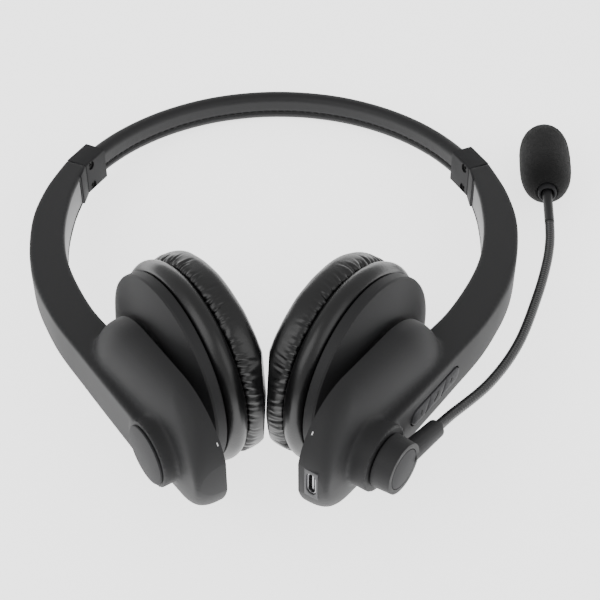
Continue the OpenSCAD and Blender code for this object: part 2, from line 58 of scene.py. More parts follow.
def cupFrame(side):
    # X runs down the cup, Z points out of its back, and the origin is in its front rim
    out = Vector(joints["boom_pivot"]["axis"])
    out.x *= sides[side]
    up = Vector(joints[side + "_cup_swivel"]["axis"])
    made = Matrix((-up, out.cross(-up), out)).transposed().to_4x4()
    made.translation = Vector(joints[side + "_cup_tilt"]["pos_m"]) - out * ballHeight
    return made


cups = {side: cupFrame(side) for side in sides}

# ---- small helpers, used by every piece


def pickOnly(piece):
    bpy.ops.object.select_all(action="DESELECT")
    piece.select_set(True)
    bpy.context.view_layer.objects.active = piece


def inEditMode(piece, work):
    pickOnly(piece)
    bpy.ops.object.mode_set(mode="EDIT")
    bpy.ops.mesh.select_all(action="SELECT")
    work()
    bpy.ops.object.mode_set(mode="OBJECT")


def finishWith(piece, kind, **settings):
    modifier = piece.modifiers.new(kind.lower(), kind)
    for key, value in settings.items():
        setattr(modifier, key, value)
    pickOnly(piece)
    bpy.ops.object.modifier_apply(modifier=modifier.name)


def closeUp():
    bpy.ops.mesh.remove_doubles(threshold=2e-6)
    bpy.ops.mesh.fill_holes(sides=0)
    bpy.ops.mesh.normals_make_consistent(inside=False)


def skinOver(name, rings, place=None):
    # A grid wrapped over closed rings of points, in millimetres, then closed at its ends
    rows, columns = len(rings) - 1, len(rings[0])
    bpy.ops.mesh.primitive_grid_add(x_subdivisions=rows, y_subdivisions=columns, size=1)
    piece = bpy.context.object
    piece.name = name
    for vertex in piece.data.vertices:
        row = round((vertex.co.x + 0.5) * rows)
        column = round((vertex.co.y + 0.5) * columns) % columns
        vertex.co = Vector(rings[row][column]) * mm
    inEditMode(piece, closeUp)
    if place is not None:
        piece.data.transform(place)
    return piece


def turned(name, profile, place=None, at=(0, 0), steps=96):
    # A profile of (radius, height) turned about the cup's Z axis at the point given
    def ring(radius, height):
        angles = [2 * math.pi * step / steps for step in range(steps)]
        return [(at[0] + radius * math.cos(a), at[1] + radius * math.sin(a), height) for a in angles]
    return skinOver(name, [ring(radius, height) for radius, height in profile], place)


def roundedRing(halfA, halfB, radius, steps=5):
    # Points round a box with rounded corners, about its own middle
    made = []
    for corner in range(4):
        signA = (1, -1, -1, 1)[corner]
        signB = (1, 1, -1, -1)[corner]
        for step in range(steps):
            angle = math.radians(90 * corner + 90 * step / (steps - 1))
            made.append((signA * (halfA - radius) + radius * math.cos(angle),
                         signB * (halfB - radius) + radius * math.sin(angle)))
    return made


def curvePoint(points, share):
    # A point on the smooth curve through the points, with share from 0 to 1
    last = len(points) - 1
    at = min(int(share * last), last - 1)
    t = share * last - at
    a, b, c, d = (Vector(points[min(max(at + k, 0), last)]) for k in (-1, 0, 1, 2))
    return 0.5 * (2 * b + (c - a) * t + (2 * a - 5 * b + 4 * c - d) * t * t
                  + (3 * b - a - 3 * c + d) * t ** 3)


def merged(name, pieces):
    pickOnly(pieces[0])
    for piece in pieces[1:]:
        piece.select_set(True)
    bpy.ops.object.join()
    bpy.context.object.name = name
    return bpy.context.object


def cutFrom(piece, cutters):
    cutter = merged("cutter", cutters)
    finishWith(piece, "BOOLEAN", operation="DIFFERENCE", object=cutter, solver="EXACT", use_self=True)
    bpy.data.objects.remove(cutter)


def roundedCopy(name, node, width, angle=25):
    # A CAD node's shape as clean faces with small moulded edges
    piece = bpy.data.objects.new(name, cadNodes[node].data.copy())
    scene.collection.objects.link(piece)

    def clean():
        bpy.ops.mesh.remove_doubles(threshold=3e-6)
        bpy.ops.mesh.dissolve_limited(angle_limit=math.radians(0.6))

    inEditMode(piece, clean)
    finishWith(piece, "BEVEL", width=width * mm, segments=3, limit_method="ANGLE",
               angle_limit=math.radians(angle), harden_normals=False, use_clamp_overlap=True)
    return piece


def handOver(piece, body, material, nodes=(), smoothAngle=40):
    pickOnly(piece)
    bpy.ops.object.shade_smooth_by_angle(angle=math.radians(smoothAngle))
    piece.data.materials.clear()
    piece.data.materials.append(material)
    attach(piece, body)
    if nodes:
        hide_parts(*nodes)
    return piece


# ---- the camera

cameraSettings = {"place": (17.89, -325.71, -394.46), "pitch": 49.1, "yaw": -1.24, "roll": 1.44,
                  "lens": 79.03, "sensor": 36}


def addCamera(settings):
    pitch, yaw, roll = (math.radians(settings[key]) for key in ("pitch", "yaw", "roll"))
    ahead = Vector((math.sin(yaw) * math.cos(pitch), math.cos(yaw) * math.cos(pitch), math.sin(pitch)))
    flatRight = Vector((math.cos(yaw), -math.sin(yaw), 0))
    flatUp = flatRight.cross(ahead)
    right = math.cos(roll) * flatRight + math.sin(roll) * flatUp
    up = -math.sin(roll) * flatRight + math.cos(roll) * flatUp
    look = Matrix((right, up, -ahead)).transposed().to_4x4()
    look.translation = Vector(settings["place"]) * mm
    bpy.ops.object.camera_add()
    camera = bpy.context.object
    camera.matrix_world = upright @ look
    camera.data.lens = settings["lens"]
    camera.data.sensor_width = settings["sensor"]
    camera.data.clip_start = 0.01
    camera.data.clip_end = 20
    scene.camera = camera


addCamera(cameraSettings)
print("camera set")

# ---- materials


def tone(hexColor):
    parts = [int(hexColor[i:i + 2], 16) / 255 for i in (1, 3, 5)]
    return [p / 12.92 if p <= 0.04045 else ((p + 0.055) / 1.055) ** 2.4 for p in parts] + [1]


def addNode(tree, kind, settings=None, links=None):
    made = tree.nodes.new(kind)
    for key, value in (settings or {}).items():
        if hasattr(made, key):
            setattr(made, key, value)
        else:
            made.inputs[key].default_value = value
    for key, source in (links or {}).items():
        tree.links.new(source, made.inputs[key])
    return made


def startMaterial(name, color, rough, **shaderSettings):
    material = bpy.data.materials.new(name)
    material.use_nodes = True
    tree = material.node_tree
    shader = tree.nodes["Principled BSDF"]
    shader.inputs["Base Color"].default_value = tone(color)
    shader.inputs["Roughness"].default_value = rough
    for key, value in shaderSettings.items():
        shader.inputs[key.replace("_", " ")].default_value = value
    place = addNode(tree, "ShaderNodeTexCoord").outputs["Object"]
    return material, tree, shader, place


def mottle(tree, shader, place, colors, size, roughs=None):
    # Slow drift between two shades, and of the gloss with it, over patches of the size in millimetres
    drift = addNode(tree, "ShaderNodeTexNoise", {"Scale": 1 / (size * mm), "Detail": 3}, {"Vector": place})
    shades = addNode(tree, "ShaderNodeMix", {"data_type": "RGBA"}, {"Factor": drift.outputs["Fac"]})
    shades.inputs[6].default_value = tone(colors[0])
    shades.inputs[7].default_value = tone(colors[1])
    tree.links.new(shades.outputs[2], shader.inputs["Base Color"])
    if roughs:
        gloss = addNode(tree, "ShaderNodeMapRange", {"To Min": roughs[0], "To Max": roughs[1]},
                        {"Value": drift.outputs["Fac"]})
        tree.links.new(gloss.outputs["Result"], shader.inputs["Roughness"])


def relief(tree, shader, layers):
    # Bump layers, each a height output and its depth in millimetres, one on top of the other
    below = None
    for height, depth in layers:
        links = {"Height": height}
        if below:
            links["Normal"] = below
        bump = addNode(tree, "ShaderNodeBump", {"Distance": depth * mm, "Strength": 1}, links)
        below = bump.outputs["Normal"]
    tree.links.new(below, shader.inputs["Normal"])


def texture(tree, place, kind, size, **settings):
    return addNode(tree, "ShaderNodeTex" + kind, {"Scale": 1 / (size * mm), **settings}, {"Vector": place})


def mouldedPlastic(name, colors, roughs, grain, depth, ior=1.49, shine=0.3):
    # ABS and PC/ABS: a fine spark-eroded grain that spreads the highlights
    material, tree, shader, place = startMaterial(name, colors[0], roughs[0], IOR=ior,
                                                  Specular_IOR_Level=shine)
    mottle(tree, shader, place, colors, 14, roughs)
    fine = texture(tree, place, "Noise", grain, Detail=4)
    relief(tree, shader, [(fine.outputs["Fac"], depth)])
    return material


def leatherette(name, colors, roughs, grain, depth, coat, shine):
    # PU-coated knit: small pebbled cells with fine creases between them, under a satin coat
    material, tree, shader, place = startMaterial(name, colors[0], roughs[0], IOR=1.5,
                                                  Specular_IOR_Level=shine, Coat_Weight=coat,
                                                  Coat_Roughness=0.22)
    mottle(tree, shader, place, colors, 9, roughs)
    cells = texture(tree, place, "Voronoi", grain, feature="SMOOTH_F1")
    creases = texture(tree, place, "Noise", grain * 4, Detail=6, Roughness=0.6)
    relief(tree, shader, [(creases.outputs["Fac"], depth * 2.5), (cells.outputs["Distance"], depth)])
    return material


def metal(name, color, rough, grain, depth):
    # Rolled or drawn metal: fine lines in one direction
    material, tree, shader, place = startMaterial(name, color, rough, Metallic=1)
    stretch = addNode(tree, "ShaderNodeMapping", {"Scale": (1, 12, 1)}, {"Vector": place})
    lines = texture(tree, stretch.outputs["Vector"], "Noise", grain, Detail=3)
    mottle(tree, shader, place, (color, color), 6, (rough * 0.85, rough * 1.15))
    relief(tree, shader, [(lines.outputs["Fac"], depth)])
    return material


def wovenCloth(name, colors, pitch):
    # Knitted speaker cloth: a regular mesh of round holes between threads, drawn at its real pitch
    material, tree, shader, place = startMaterial(name, colors[0], 0.85, Sheen_Weight=0.3)
    cells = texture(tree, place, "Voronoi", pitch, Randomness=0.15)
    shades = addNode(tree, "ShaderNodeMix", {"data_type": "RGBA"}, {"Factor": cells.outputs["Distance"]})
    shades.inputs[6].default_value = tone(colors[1])
    shades.inputs[7].default_value = tone(colors[0])
    tree.links.new(shades.outputs[2], shader.inputs["Base Color"])
    relief(tree, shader, [(cells.outputs["Distance"], 0.25)])
    return material


def openCellFoam(name, colors, cell):
    # Reticulated PU foam: pits of about a third of a millimetre that swallow the light
    material, tree, shader, place = startMaterial(name, colors[0], 0.95, IOR=1.4, Sheen_Weight=0.05,
                                                  Sheen_Roughness=0.6)
    pits = texture(tree, place, "Voronoi", cell)
    clumps = texture(tree, place, "Noise", cell * 3, Detail=5)
    shades = addNode(tree, "ShaderNodeMix", {"data_type": "RGBA"}, {"Factor": pits.outputs["Distance"]})
    shades.inputs[6].default_value = tone(colors[0])
    shades.inputs[7].default_value = tone(colors[1])
    tree.links.new(shades.outputs[2], shader.inputs["Base Color"])
    relief(tree, shader, [(clumps.outputs["Fac"], 0.12), (pits.outputs["Distance"], 0.3)])
    return material


looks = {
    "softTouchAbs": mouldedPlastic("softTouchAbs", ("#202021", "#242425"), (0.56, 0.64), 0.35, 0.012),
    "innerAbs": mouldedPlastic("innerAbs", ("#1f1f20", "#232324"), (0.48, 0.56), 0.35, 0.012),
    "bracketNylon": mouldedPlastic("bracketNylon", ("#232324", "#29292a"), (0.55, 0.65), 0.5, 0.03,
                                 shine=0.15),
    "satinAbs": mouldedPlastic("satinAbs", ("#232325", "#282829"), (0.56, 0.64), 0.3, 0.012, shine=0.15),
    "siliconeKeys": mouldedPlastic("siliconeKeys", ("#343436", "#3a3a3c"), (0.56, 0.66), 0.3, 0.01, 1.41),
    "keyMarks": mouldedPlastic("keyMarks", ("#0c0c0c", "#101010"), (0.5, 0.6), 0.3, 0.01),
    "bandLeather": leatherette("bandLeather", ("#1d1d1e", "#222223"), (0.5, 0.58), 0.7, 0.03, 0.03, 0.3),
    "cushionLeather": leatherette("cushionLeather", ("#080809", "#0c0c0d"), (0.3, 0.38), 0.6, 0.02,
                                  0.12, 0.45),
    "stitchThread": mouldedPlastic("stitchThread", ("#0c0c0c", "#151515"), (0.6, 0.7), 0.2, 0.02),
    "windscreenFoam": openCellFoam("windscreenFoam", ("#080808", "#020202"), 0.4),
    "paddingFoam": openCellFoam("paddingFoam", ("#4a4a4a", "#2c2c2c"), 0.6),
    "ribbedSleeve": mouldedPlastic("ribbedSleeve", ("#1a1a1b", "#1d1d1e"), (0.26, 0.34), 0.3, 0.01,
                                 shine=0.9),
    "speakerCloth": wovenCloth("speakerCloth", ("#1c1c1c", "#050505"), 0.8),
    "blackSteel": metal("blackSteel", "#2a2a2a", 0.4, 0.3, 0.01),
    "springSteel": metal("springSteel", "#b8b8ba", 0.3, 0.4, 0.01),
    "portMetal": metal("portMetal", "#a2a2a4", 0.38, 0.3, 0.008),
    "linerAbs": mouldedPlastic("linerAbs", ("#4a4a4b", "#505051"), (0.4, 0.48), 0.35, 0.008, shine=0.6),
    "trimPaint": mouldedPlastic("trimPaint", ("#434345", "#4a4a4c"), (0.45, 0.52), 0.3, 0.006),
    "speakerSteel": metal("speakerSteel", "#8d8d8f", 0.35, 0.4, 0.01),
    "pouchFoil": metal("pouchFoil", "#c2c2c4", 0.3, 3, 0.1),
    "acetal": mouldedPlastic("acetal", ("#d8d8d4", "#dededa"), (0.4, 0.46), 0.6, 0.01, 1.48),
    "fr4Board": mouldedPlastic("fr4Board", ("#0d4a24", "#11552b"), (0.25, 0.32), 1.5, 0.01, 1.55),
    "lensPc": mouldedPlastic("lensPc", ("#d4d4d4", "#dcdcdc"), (0.2, 0.25), 0.8, 0.003, 1.58),
}
slotLooks = {
    "spring_steel": "springSteel", "foam": "paddingFoam", "band_leatherette": "bandLeather",
    "bracket_plastic": "bracketNylon", "black_screw": "blackSteel", "casing_plastic": "softTouchAbs",
    "inner_plastic": "innerAbs", "accent_plastic": "satinAbs", "battery_foil": "pouchFoil",
    "board": "fr4Board", "port_metal": "portMetal", "lens": "lensPc", "bushing_nylon": "acetal",
    "speaker_metal": "speakerSteel", "cloth": "speakerCloth", "cushion_leatherette": "cushionLeather",
    "gooseneck_sleeve": "ribbedSleeve", "wind_foam": "windscreenFoam", "key_rubber": "siliconeKeys",
}
for subpart in frame["record"]["subparts"]:
    node = cadNodes[subpart["node"]]
    node.data.materials.clear()
    node.data.materials.append(looks[slotLooks[subpart["material_slot"]]])
print("materials made")

# ---- arms that run into the outer shells

armSettings = {
    "outer": [(89, 62.2), (94.6, 41.2), (96.2, 18), (91.2, -12), (80, -37), (65.2, -59.4), (43.2, -90.8)],
    "inner": [(80.3, 57.9), (82.9, 38), (82.4, 15), (77.5, -7), (66.2, -31), (53.4, -49.3), (30, -82.7)],
    "depth": 16.2, "flare": 0.0287, "corner": 1.1, "stations": 60,
    "linerDepth": 11.2, "linerFrom": 0.08, "linerTo": 0.575,
}
shellSettings = {
    "rimR": 26, "rimEnds": (30, 3.5), "rimZ": 12, "straight": 1.5, "inwards": 22, "slides": (20.4, -8),
    "lowTop": 23.4, "highTop": 25.9, "low": 55.2, "wall": 2, "coverSeat": 15.3,
    "domeSteps": 14, "riseFrom": 30, "riseOver": 36, "pivot": 32, "bossR": 12.2, "bossFoot": 16,
    "bossTop": {"left": 28.9, "right": 30.6},
    "grid": 0.55, "soften": 5, "filletFrom": 19.5, "filletTo": 27.4, "filletSoften": 26,
}
keySettings = {"middle": -3.2, "length": 31, "width": 6.6, "gap": 0.6, "floor": 25.2, "split": 5.2,
               "slant": 25, "top": 29.4, "crown": 0.4, "deep": 3.15, "columns": 26, "rows": 18}
portSettings = {"z": 17.2, "trim": (12.3, 5.4), "depth": 0.9, "well": (9.4, 3.7), "reach": 7.2}


def armRing(side, share):
    outer, inner = (curvePoint(armSettings[key], share) for key in ("outer", "inner"))
    middle, reach = (outer + inner) / 2, (outer - inner) / 2
    halfDepth = (armSettings["depth"] - armSettings["flare"] * middle.y) / 2
    ring = roundedRing(reach.length, halfDepth, armSettings["corner"])
    across = reach.normalized()
    return [(sides[side] * (middle.x + a * across.x), b, middle.y + a * across.y) for a, b in ring]


def shellRing(radius, ends, height, low=99, steps=40):
    ring = []
    for end, start in ((ends[0], -90), (ends[1], 90)):
        for step in range(steps + 1):
            angle = math.radians(start + 180 * step / steps)
            ring.append((min(end + radius * math.cos(angle), low), radius * math.sin(angle), height))
    return ring


def shellBlank(side):
    # A long dome: upright at the rim, then rounded over, and higher at the end towards the band
    s = shellSettings
    foot = s["rimZ"] + s["straight"]
    rings = [shellRing(s["rimR"], s["rimEnds"], s["rimZ"] - 3)]
    for step in range(s["domeSteps"] + 1):
        turn = math.pi / 2 * step / s["domeSteps"]
        gain = 1 - math.cos(turn)
        ends = [end + slide * gain for end, slide in zip(s["rimEnds"], s["slides"])]
        ring = []
        for x, y, _ in shellRing(s["rimR"] - s["inwards"] * gain, ends, 0):
            share = min(max((s["riseFrom"] - x) / s["riseOver"], 0), 1)
            top = s["lowTop"] + (s["highTop"] - s["lowTop"]) * share * share * (3 - 2 * share)
            ring.append((x, y, foot + (top - foot) * math.sin(turn)))
        rings.append(ring)
    return skinOver("shellBlank", rings, cups[side])


def cupBox(name, low, high, place):
    # A box between two corners, in a cup's frame
    (x0, y0, z0), (x1, y1, z1) = low, high
    return skinOver(name, [[(x0, y0, z), (x1, y0, z), (x1, y1, z), (x0, y1, z)] for z in (z0, z1)], place)


def bossBlank(side):
    s = shellSettings
    r, foot, top = s["bossR"], s["bossFoot"], s["bossTop"][side]
    profile = [(0, foot), (r, foot), (r, top), (0, top)]
    return turned("bossBlank", profile, cups[side], (s["pivot"], 0))


def keyOval(grow, steps=16):
    half = keySettings["length"] / 2 - keySettings["width"] / 2
    ends = (keySettings["middle"] + half, keySettings["middle"] - half)
    return shellRing(keySettings["width"] / 2 + grow, ends, 0, 99, steps)


def lifted(ring, height):
    return [(x, y, height) for x, y, _ in ring]


def portBox(size, start, reach):
    p, s = portSettings, shellSettings
    ring = roundedRing(size[0] / 2, size[1] / 2, 0.3)
    return skinOver("portBox", [[(s["low"] - x, a, p["z"] + b) for a, b in ring]
                                for x in (start, reach)], cups["right"])


def linerPoint(share, drop):
    inner = curvePoint(armSettings["inner"], share)
    outer = curvePoint(armSettings["outer"], share)
    return inner + (outer - inner).normalized() * drop


def linerStrip(side, name, halfDepth, front, back, shares):
    rings = []
    for share in shares:
        a, b = linerPoint(share, front), linerPoint(share, back)
        rings.append([(sides[side] * p.x, y, p.y) for p, y in
                      ((a, -halfDepth), (b, -halfDepth), (b, halfDepth), (a, halfDepth))])
    return skinOver(name, rings, upright)


def armShell(side):
    s = shellSettings
    arm = skinOver("armBlank", [armRing(side, i / armSettings["stations"])
                                for i in range(armSettings["stations"] + 1)], upright)
    piece = merged(side + "ArmShell", [arm, shellBlank(side), bossBlank(side)])
    finishWith(piece, "REMESH", mode="VOXEL", voxel_size=s["grid"] * mm, use_smooth_shade=True)
    toCup = cups[side].inverted()
    fillet = piece.vertex_groups.new(name="fillet")
    for vertex in piece.data.vertices:
        height = (toCup @ vertex.co).z / mm
        weight = min(height - s["filletFrom"], s["filletTo"] - height, 1)
        if weight > 0:
            fillet.add([vertex.index], weight, "REPLACE")
    finishWith(piece, "SMOOTH", factor=0.5, iterations=s["filletSoften"], vertex_group="fillet")
    finishWith(piece, "SMOOTH", factor=0.5, iterations=s["soften"])
    # The hollow over the shell cover, then all that stands in front of the rim and below the lower wall
    pocket = [shellRing(s["rimR"] - s["wall"], s["rimEnds"], z, s["low"] - s["wall"])
              for z in (s["rimZ"] - 3, s["coverSeat"])]
    first, last = armSettings["linerFrom"], armSettings["linerTo"]
    shares = [first + (last - first) * i / 30 for i in range(31)]
    cutters = [skinOver("pocket", pocket, cups[side]),
               cupBox("rimCut", (-27, -40, 5), (70, 40, s["rimZ"]), cups[side]),
               cupBox("wallCut", (s["low"], -40, 4), (70, 40, 40), cups[side]),
               linerStrip(side, "linerSlot", armSettings["linerDepth"] / 2 + 0.25, -3, 1.9, shares)]
    if side == "right":
        cutters.append(skinOver("keySlot", [lifted(keyOval(keySettings["gap"]), z)
                                            for z in (keySettings["floor"], 33)], cups[side]))
        cutters.append(portBox(portSettings["trim"], -3, portSettings["depth"]))
        cutters.append(portBox(portSettings["well"], -3, portSettings["reach"]))
    cutFrom(piece, cutters)
    handOver(piece, side + "_arm", looks["softTouchAbs"], [side + "_arm_casing"])
    strip = linerStrip(side, side + "ArmLiner", armSettings["linerDepth"] / 2, 0.12, 1.7,
                       [share + (0.003, -0.003)[share > 0.3] for share in shares])
    finishWith(strip, "BEVEL", width=0.3 * mm, segments=2, limit_method="ANGLE", angle_limit=0.6)
    handOver(strip, side + "_arm", looks["linerAbs"], [side + "_arm_liner"])
    print(side, "arm shell", len(piece.data.polygons))


for side in sides:
    armShell(side)

# ---- brackets

bracketSettings = {
    "at": (84.2, 59.8), "lean": 26.5, "inner": -4.4, "outer": 5.3, "halfDepth": 7.2, "corner": 0.8,
    "from": 0.25, "to": 14.2, "edge": 0.3, "screwY": 5, "screwUp": 3.9, "screwR": 1.95, "screwDeep": 1.9,
    "tongue": [(80.26, 57.9), (81, 50.8), (82.4, 50.8), (82.6, 59.4)],
}


def bracket(side):
    b = bracketSettings
    lean = math.radians(b["lean"])
    out = Vector((sides[side] * math.cos(lean), 0, math.sin(lean)))
    up = Vector((-sides[side] * math.sin(lean), 0, math.cos(lean)))
    place = Matrix((out, up.cross(out), up)).transposed().to_4x4()
    place.translation = Vector((sides[side] * b["at"][0], 0, b["at"][1])) * mm
    place = upright @ place
    middle, half = (b["inner"] + b["outer"]) / 2, (b["outer"] - b["inner"]) / 2
    rings = []
    for height, inset in ((b["from"], b["edge"]), (b["from"] + b["edge"], 0), (b["to"] - b["edge"], 0),
                          (b["to"], b["edge"])):
        ring = roundedRing(half - inset, b["halfDepth"] - inset, b["corner"])
        rings.append([(middle + x, y, height) for x, y in ring])
    block = skinOver("bracketBlock", rings, place)
    holes = []
    for y in (-b["screwY"], b["screwY"]):
        hole = place @ Matrix.Translation(Vector((b["inner"], y, b["screwUp"])) * mm) @ Matrix.Rotation(
            math.radians(90), 4, "Y")
        holes.append(turned("screwHole", [(0, -1), (b["screwR"], -1), (b["screwR"], b["screwDeep"]),
                                          (0, b["screwDeep"])], hole, steps=32))
    cutFrom(block, holes)
    tongue = skinOver("bracketTongue", [[(sides[side] * x, y, z) for x, z in b["tongue"]]
                                        for y in (-b["halfDepth"] + 0.1, b["halfDepth"] - 0.1)], upright)
    finishWith(tongue, "BEVEL", width=0.15 * mm, segments=2, limit_method="ANGLE", angle_limit=0.6)
    handOver(merged(side + "Bracket", [block, tongue]), "headband",
             looks["bracketNylon"], [side + "_bracket"])


for side in sides:
    bracket(side)

# ---- end cap, knob, trim and baffles: the plain shapes with moulded edges

roundedNodes = {
    "left_end_cap": ("left_arm", "accent_plastic", "satinAbs", 0.35),
    "boom_knob": ("boom", "casing_plastic", "softTouchAbs", 0.3),
    "knob_disc": ("boom", "accent_plastic", "satinAbs", 0.15),
    "usb_trim": ("right_arm", "port_metal", "trimPaint", 0.12),
    "left_baffle": ("left_cup", "inner_plastic", "innerAbs", 0.12),
    "right_baffle": ("right_cup", "inner_plastic", "innerAbs", 0.12),
}


def camel(words):
    first, *rest = words.split("_")
    return first + "".join(word.capitalize() for word in rest)


for node, (body, slot, look, width) in roundedNodes.items():
    handOver(roundedCopy(camel(node), node, width), body, looks[look], [node])
print("moulded edges rounded")

# ---- ear cups

cupSettings = {"r": 36.5, "lip": 34.6, "rim": 4.7, "back": 9.3, "wellR": 13.2, "wellZ": 3.2, "wall": 1.6,
               "under": 1.7, "slopeFrom": 30, "flatFrom": 24}
skirtSettings = {"top": -0.35, "low": -7.5, "innerR": 33.8, "backR": 36.3, "bulge": 1.9, "lean": 0.9,
                 "steps": 12, "ripple": 0.004, "rippleSize": 9}


def cupHousing(side):
    c = cupSettings
    well, under = c["wellR"] + c["wall"], c["back"] - c["under"]
    profile = [(c["lip"], 0.1), (c["r"] - 0.35, 0.1), (c["r"], 0.45), (c["r"] - 0.1, c["rim"] - 1.1),
               (c["r"] - 0.45, c["rim"] - 0.35), (c["r"] - 1.1, c["rim"]),
               (c["slopeFrom"], c["rim"] + 2.75), (c["flatFrom"] + 1.2, c["back"] - 0.35),
               (c["flatFrom"], c["back"]), (c["wellR"] + 0.6, c["back"]), (c["wellR"], c["back"] - 0.6),
               (c["wellR"], c["wellZ"]), (c["wall"], c["wellZ"]), (c["wall"], c["wall"]),
               (well, c["wall"]), (well, under), (c["flatFrom"] - 0.4, under), (c["lip"], c["wellZ"]),
               (c["lip"], 0.1)]
    piece = turned(side + "CupHousing", profile, cups[side], steps=144)
    handOver(piece, side + "_cup", looks["softTouchAbs"], [side + "_cup_housing"], 22)


def cushionSkirt(side):
    s = skirtSettings
    profile = [(s["innerR"], s["top"])]
    for step in range(s["steps"] + 1):
        share = step / s["steps"]
        radius = s["backR"] + s["lean"] * share + s["bulge"] * math.sin(math.pi * share) ** 0.7
        profile.append((radius, s["top"] + (s["low"] - s["top"]) * share))
    profile += [(s["innerR"], s["low"]), (s["innerR"], s["top"])]
    piece = turned(side + "CushionSkirt", profile, cups[side], steps=144)
    for vertex in piece.data.vertices:
        around = noise.noise(vertex.co / (s["rippleSize"] * mm))
        local = cups[side].inverted() @ vertex.co
        if local.xy.length > 35.5 * mm:
            local.xy *= 1 + s["ripple"] * around
            vertex.co = cups[side] @ local
    handOver(piece, side + "_cup", looks["cushionLeather"],
             [side + "_cushion_skirt"])


for side in sides:
    cupHousing(side)
    cushionSkirt(side)

cushionSettings = {
    "ringR": 29.4, "halfWidth": 9.4, "halfThick": 6.9, "middle": -13.4, "back": -7.55, "square": 2.7,
    "around": 216, "section": 44, "pressure": 8, "swell": -0.06, "cap": 0.55,
    "outerCreases": 84, "innerCreases": 46, "gap": 0.15, "swivel": 4, "seed": 7,
}


def cushionSection(phi):
    s = cushionSettings
    power = 2 / s["square"]
    c, sn = math.cos(phi), math.sin(phi)
    radius = s["ringR"] + s["halfWidth"] * math.copysign(abs(c) ** power, c)
    height = s["middle"] + s["halfThick"] * math.copysign(abs(sn) ** power, sn)
    return radius, min(height, s["back"])


def puffUp(piece, pins, settings):
    # Cloth under pressure with its back seam held. Nearly every free point moves past the cap and is
    # pulled back to it, so the cap sets the shape and the simulation only the direction
    rest = [vertex.co.copy() for vertex in piece.data.vertices]
    group = piece.vertex_groups.new(name="pins")
    group.add(pins, 1, "REPLACE")
    modifier = piece.modifiers.new("cloth", "CLOTH")
    cloth = modifier.settings
    cloth.vertex_group_mass = "pins"
    cloth.use_pressure = True
    cloth.uniform_pressure_force = settings["pressure"]
    cloth.shrink_min = settings["swell"]
    cloth.mass = 0.01
    cloth.quality = 6
    cloth.effector_weights.gravity = 0
    for frameNumber in range(1, 21):
        scene.frame_set(frameNumber)
    pickOnly(piece)
    bpy.ops.object.modifier_apply(modifier="cloth")
    scene.frame_set(1)
    moves = []
    for vertex, start in zip(piece.data.vertices, rest):
        move = vertex.co - start
        moves.append(move.length)
        if move.length > settings["cap"] * mm:
            vertex.co = start + move.normalized() * settings["cap"] * mm
    print(piece.name, "swelled by up to", round(max(moves) / mm, 2), "mm")
    finishWith(piece, "SUBSURF", levels=1, render_levels=1)


def addCreases(piece, place, settings, seed):
    # Gathers at the sewn edges: short dark creases that run in from the seam and fade out
    luck = random.Random(seed)
    creases = []
    for count, outer in ((settings["outerCreases"], True), (settings["innerCreases"], False)):
        for index in range(count):
            angle = 2 * math.pi * (index + luck.uniform(-0.42, 0.42)) / count
            cluster = 0.5 + 0.5 * noise.noise(Vector((3 * math.cos(angle), 3 * math.sin(angle), seed)))
            creases.append((outer, angle, luck.uniform(0.4, 1.15) * (0.35 + cluster),
                            luck.uniform(0.4, 0.8),
                            luck.uniform(2.6, 8.5) * (0.5 + cluster), luck.uniform(-0.28, 0.28)))
    inverse = place.inverted()
    buckets = {}
    for crease in creases:
        for spread in (-1, 0, 1):
            buckets.setdefault((crease[0], (int(crease[1] / 0.1) + spread) % 63), []).append(crease)
    for vertex in piece.data.vertices:
        local = inverse @ vertex.co / mm
        radius, angle = local.xy.length, math.atan2(local.y, local.x) % (2 * math.pi)
        outer = radius > settings["ringR"]
        away = max(settings["back"] - local.z, 0)
        push = 0.0
        for _, at, depth, width, length, slant in buckets.get((outer, int(angle / 0.1) % 63), []):
            off = ((angle - at + math.pi) % (2 * math.pi) - math.pi) * radius - slant * away
            fade = max(0, 1 - away / length)
            push += depth * fade * fade * (3 - 2 * fade) * (
                math.exp(-(off / width) ** 2) - 0.45 * math.exp(-((abs(off) - 1.6 * width) / width) ** 2))
        if push:
            section = Vector((radius - settings["ringR"], local.z - settings["middle"])).normalized()
            radius -= push * section.x
            vertex.co = place @ (Vector((radius * math.cos(angle), radius * math.sin(angle),
                                         local.z - push * section.y)) * mm)


def keepOwnSide(piece, side, settings):
    # The two cushions press on each other in the middle and go flat there
    ball = Vector(joints[side + "_cup_tilt"]["pos_m"])
    axis = Vector(joints[side + "_cup_swivel"]["axis"])
    middle = upright.translation
    for turn in (0, settings["swivel"], -settings["swivel"]):
        spin = Matrix.Rotation(math.radians(turn), 3, axis)
        normal = spin @ Vector((sides[side], 0, 0))
        point = ball + spin @ (middle + normal * settings["gap"] * mm - ball)
        for vertex in piece.data.vertices:
            depth = (vertex.co - point).dot(normal)
            if depth < 0:
                vertex.co -= normal * depth


def blankCushion():
    s = cushionSettings
    rings = []
    for turn in range(s["around"] + 1):
        angle = 2 * math.pi * turn / s["around"]
        ring = []
        for step in range(s["section"]):
            radius, height = cushionSection(2 * math.pi * step / s["section"])
            wave = noise.noise(Vector((5 * math.cos(angle), 5 * math.sin(angle), height / 4)))
            radius += 0.25 * wave
            ring.append((radius * math.cos(angle), radius * math.sin(angle), height))
        rings.append(ring)
    piece = skinOver("cushionBlank", rings)
    pins = [v.index for v in piece.data.vertices if v.co.z > (s["back"] - 0.05) * mm]
    puffUp(piece, pins, s)
    return piece


